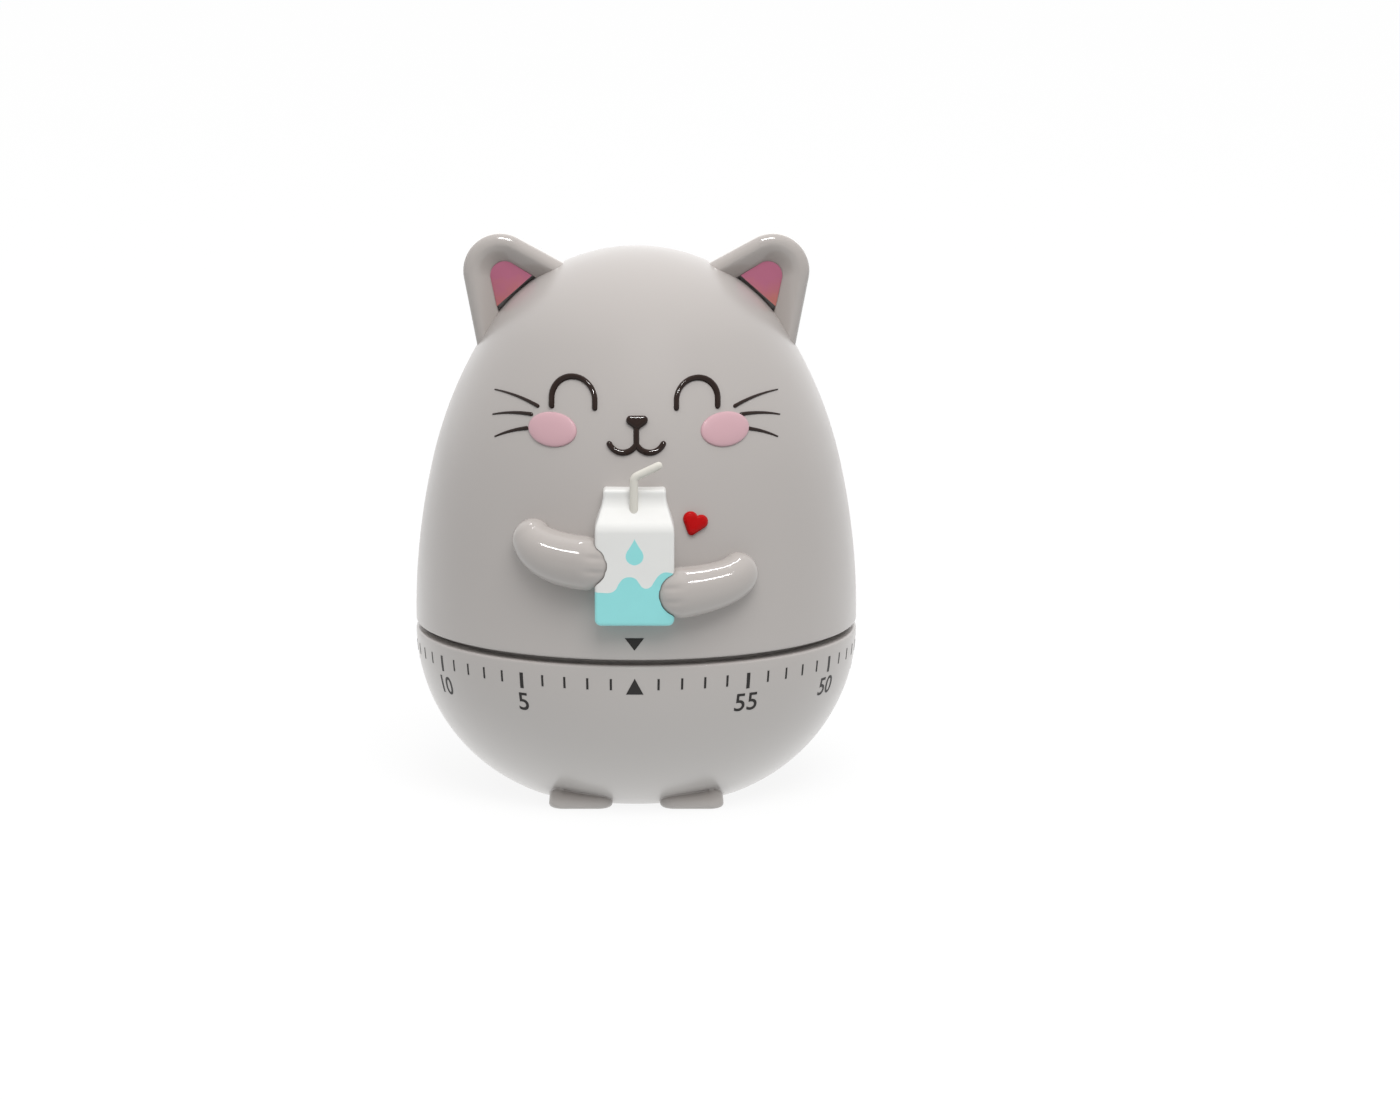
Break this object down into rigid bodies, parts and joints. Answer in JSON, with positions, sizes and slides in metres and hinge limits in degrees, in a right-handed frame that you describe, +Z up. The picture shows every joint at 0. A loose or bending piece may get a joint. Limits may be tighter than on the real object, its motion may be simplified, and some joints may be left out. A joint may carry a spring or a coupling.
{
  "type": "kitchen timer",
  "caption": "Egg-shaped clockwork kitchen timer in the form of a sitting cat with a drinks carton; the head turns on a base with a minute scale, over a gear train, bell and hammer.",
  "frame": {"origin": "centre of the flat underside of the base, on the turning axis", "axes": "+Z up along the turning axis, -Y towards the cat's face, +X to the right as seen from the front"},
  "size_m": [0.065, 0.0696, 0.0813],
  "materials": {
    "shell_grey": "glossy moulded ABS",
    "blush_pink": "painted pink, glossy",
    "face_brown": "painted dark brown, glossy",
    "heart_red": "painted red, glossy",
    "carton_white": "painted white with a printed turquoise wave",
    "straw_grey": "painted warm light grey",
    "inner_plastic": "plain moulded",
    "steel": "turned",
    "plated_steel": "zinc plated",
    "brass": "stamped",
    "bell_steel": "nickel plated",
    "spring_steel": "blued"
  },
  "bodies": {
    "base": {"base_shell": "shell_grey", "lower_plate": "plated_steel", "upper_plate": "plated_steel", "arbor_bush": "brass", "plate_pillars": "brass", "pillar_nuts": "steel", "movement_screws": "steel", "bell": "bell_steel", "bell_post": "brass", "bell_screw": "steel", "mainspring": "spring_steel", "spring_post": "steel", "hammer_stud": "steel", "hammer_spring": "spring_steel"},
    "head": {"head_shell": "shell_grey", "ear_left": "shell_grey", "ear_right": "shell_grey", "ear_lining_left": "blush_pink", "ear_lining_right": "blush_pink", "eyes": "face_brown", "nose_and_mouth": "face_brown", "whiskers": "face_brown", "cheeks": "blush_pink", "heart": "heart_red", "arm_left": "shell_grey", "arm_right": "shell_grey", "carton": "carton_white", "straw": "straw_grey", "drive_plate": "inner_plastic", "drive_screws": "steel", "main_arbor": "steel", "strike_cam": "steel", "ratchet_wheel": "steel"},
    "great_wheel": {"main_wheel": "brass", "click_rivet": "steel"},
    "click": {"click": "steel"},
    "second_set": {"second_pinion": "steel", "second_wheel": "brass"},
    "third_set": {"third_pinion": "steel", "third_wheel": "brass"},
    "escape_set": {"escape_pinion": "steel", "escape_wheel": "brass"},
    "balance": {"balance_staff": "steel", "balance_wheel": "brass", "pallet_lever": "steel"},
    "hammer": {"hammer_lever": "steel", "hammer_head": "brass"}
  },
  "joints": [
    {"name": "dial_turn", "type": "hinge", "parent": "base", "child": "head", "pos_m": [0, 0, 0], "axis": [0, 0, -1], "range_deg": [0, 360], "deforming": ["mainspring"]},
    {"name": "great_wheel_turn", "type": "hinge", "parent": "base", "child": "great_wheel", "pos_m": [0, 0, 0], "axis": [0, 0, -1], "range_deg": [0, 360]},
    {"name": "click_lift", "type": "hinge", "parent": "great_wheel", "child": "click", "pos_m": [0.00613, 0.00514, 0], "axis": [0, 0, 1], "range_deg": [0, 8], "stiffness_Nm_per_rad": 0.0002},
    {"name": "second_turn", "type": "hinge", "parent": "base", "child": "second_set", "pos_m": [-0.01316, -0.00479, 0], "axis": [0, 0, -1], "range_deg": [-2160, 0]},
    {"name": "third_turn", "type": "hinge", "parent": "base", "child": "third_set", "pos_m": [-0.00698, -0.01214, 0], "axis": [0, 0, -1], "range_deg": [0, 10800]},
    {"name": "escape_turn", "type": "hinge", "parent": "base", "child": "escape_set", "pos_m": [0.00248, -0.01378, 0], "axis": [0, 0, -1], "range_deg": [-54000, 0]},
    {"name": "balance_swing", "type": "hinge", "parent": "base", "child": "balance", "pos_m": [0.01117, -0.01145, 0], "axis": [0, 0, -1], "range_deg": [-10, 10]},
    {"name": "hammer_swing", "type": "hinge", "parent": "base", "child": "hammer", "pos_m": [0, 0.0195, 0], "axis": [0, 0, -1], "range_deg": [0, 12], "stiffness_Nm_per_rad": 0.001, "deforming": ["hammer_spring"]}
  ],
  "couplings": [
    {"joint": "great_wheel_turn", "follows": "dial_turn", "ratio": 1},
    {"joint": "second_turn", "follows": "dial_turn", "ratio": -6},
    {"joint": "third_turn", "follows": "dial_turn", "ratio": 30},
    {"joint": "escape_turn", "follows": "dial_turn", "ratio": -150}
  ]
}
